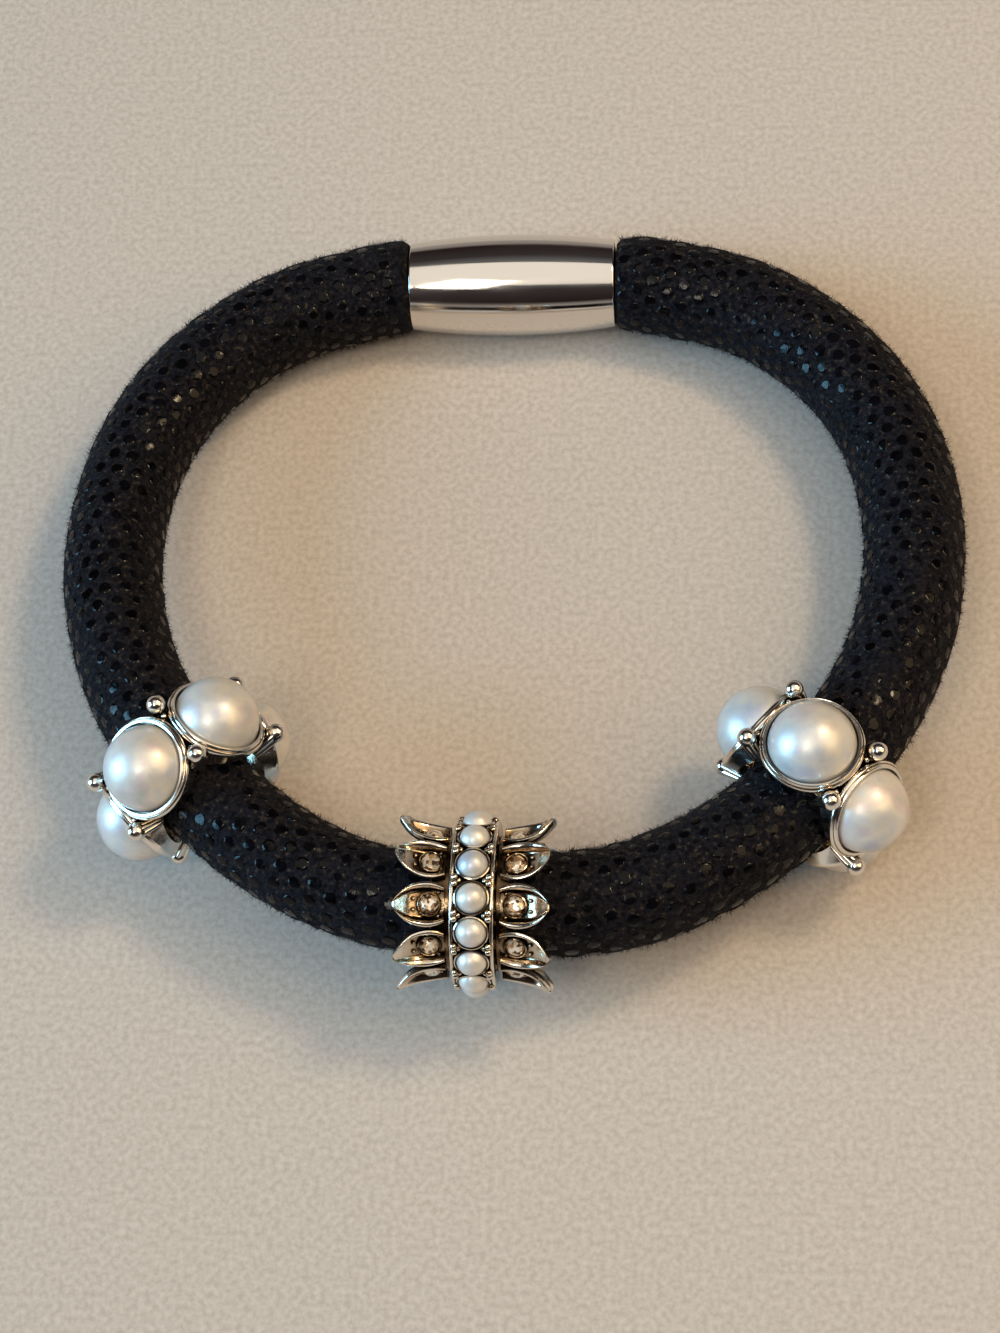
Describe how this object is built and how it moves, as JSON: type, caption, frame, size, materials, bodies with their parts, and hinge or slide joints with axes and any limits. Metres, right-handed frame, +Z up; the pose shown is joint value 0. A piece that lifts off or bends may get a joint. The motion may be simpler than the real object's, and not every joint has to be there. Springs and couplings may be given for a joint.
{
  "type": "leather bead bracelet",
  "caption": "Round leather cord bracelet with a magnetic barrel clasp, two pearl-set slide beads and a petalled crown bead between them, closed and lying flat.",
  "frame": {"origin": "middle of the bounding box's underside, on the surface that the closed bracelet lies on", "axes": "+Z up from that surface, +Y from the crown bead at the front towards the clasp at the back, +X to the right seen from the front"},
  "size_m": [0.0684, 0.0646, 0.0159],
  "materials": {
    "leather": "soft suede printed with glossy dots",
    "polished_steel": "polished",
    "antique_silver": "polished with darkened hollows",
    "pearl": "lustrous"
  },
  "bodies": {
    "root": {"leather_cord": "leather", "clasp_barrel": "polished_steel", "clasp_plug": "polished_steel", "right_bead_setting": "antique_silver", "right_bead_pearl_1": "pearl", "right_bead_pearl_2": "pearl", "right_bead_pearl_3": "pearl", "right_bead_pearl_4": "pearl", "right_bead_pearl_5": "pearl", "left_bead_setting": "antique_silver", "left_bead_pearl_1": "pearl", "left_bead_pearl_2": "pearl", "left_bead_pearl_3": "pearl", "left_bead_pearl_4": "pearl", "left_bead_pearl_5": "pearl", "crown_bead_body": "antique_silver", "crown_pearl_01": "pearl", "crown_pearl_02": "pearl", "crown_pearl_03": "pearl", "crown_pearl_04": "pearl", "crown_pearl_05": "pearl", "crown_pearl_06": "pearl", "crown_pearl_07": "pearl", "crown_pearl_08": "pearl", "crown_pearl_09": "pearl", "crown_pearl_10": "pearl", "crown_pearl_11": "pearl", "crown_pearl_12": "pearl", "crown_pearl_13": "pearl", "crown_pearl_14": "pearl", "crown_pearl_15": "pearl"}
  },
  "joints": []
}
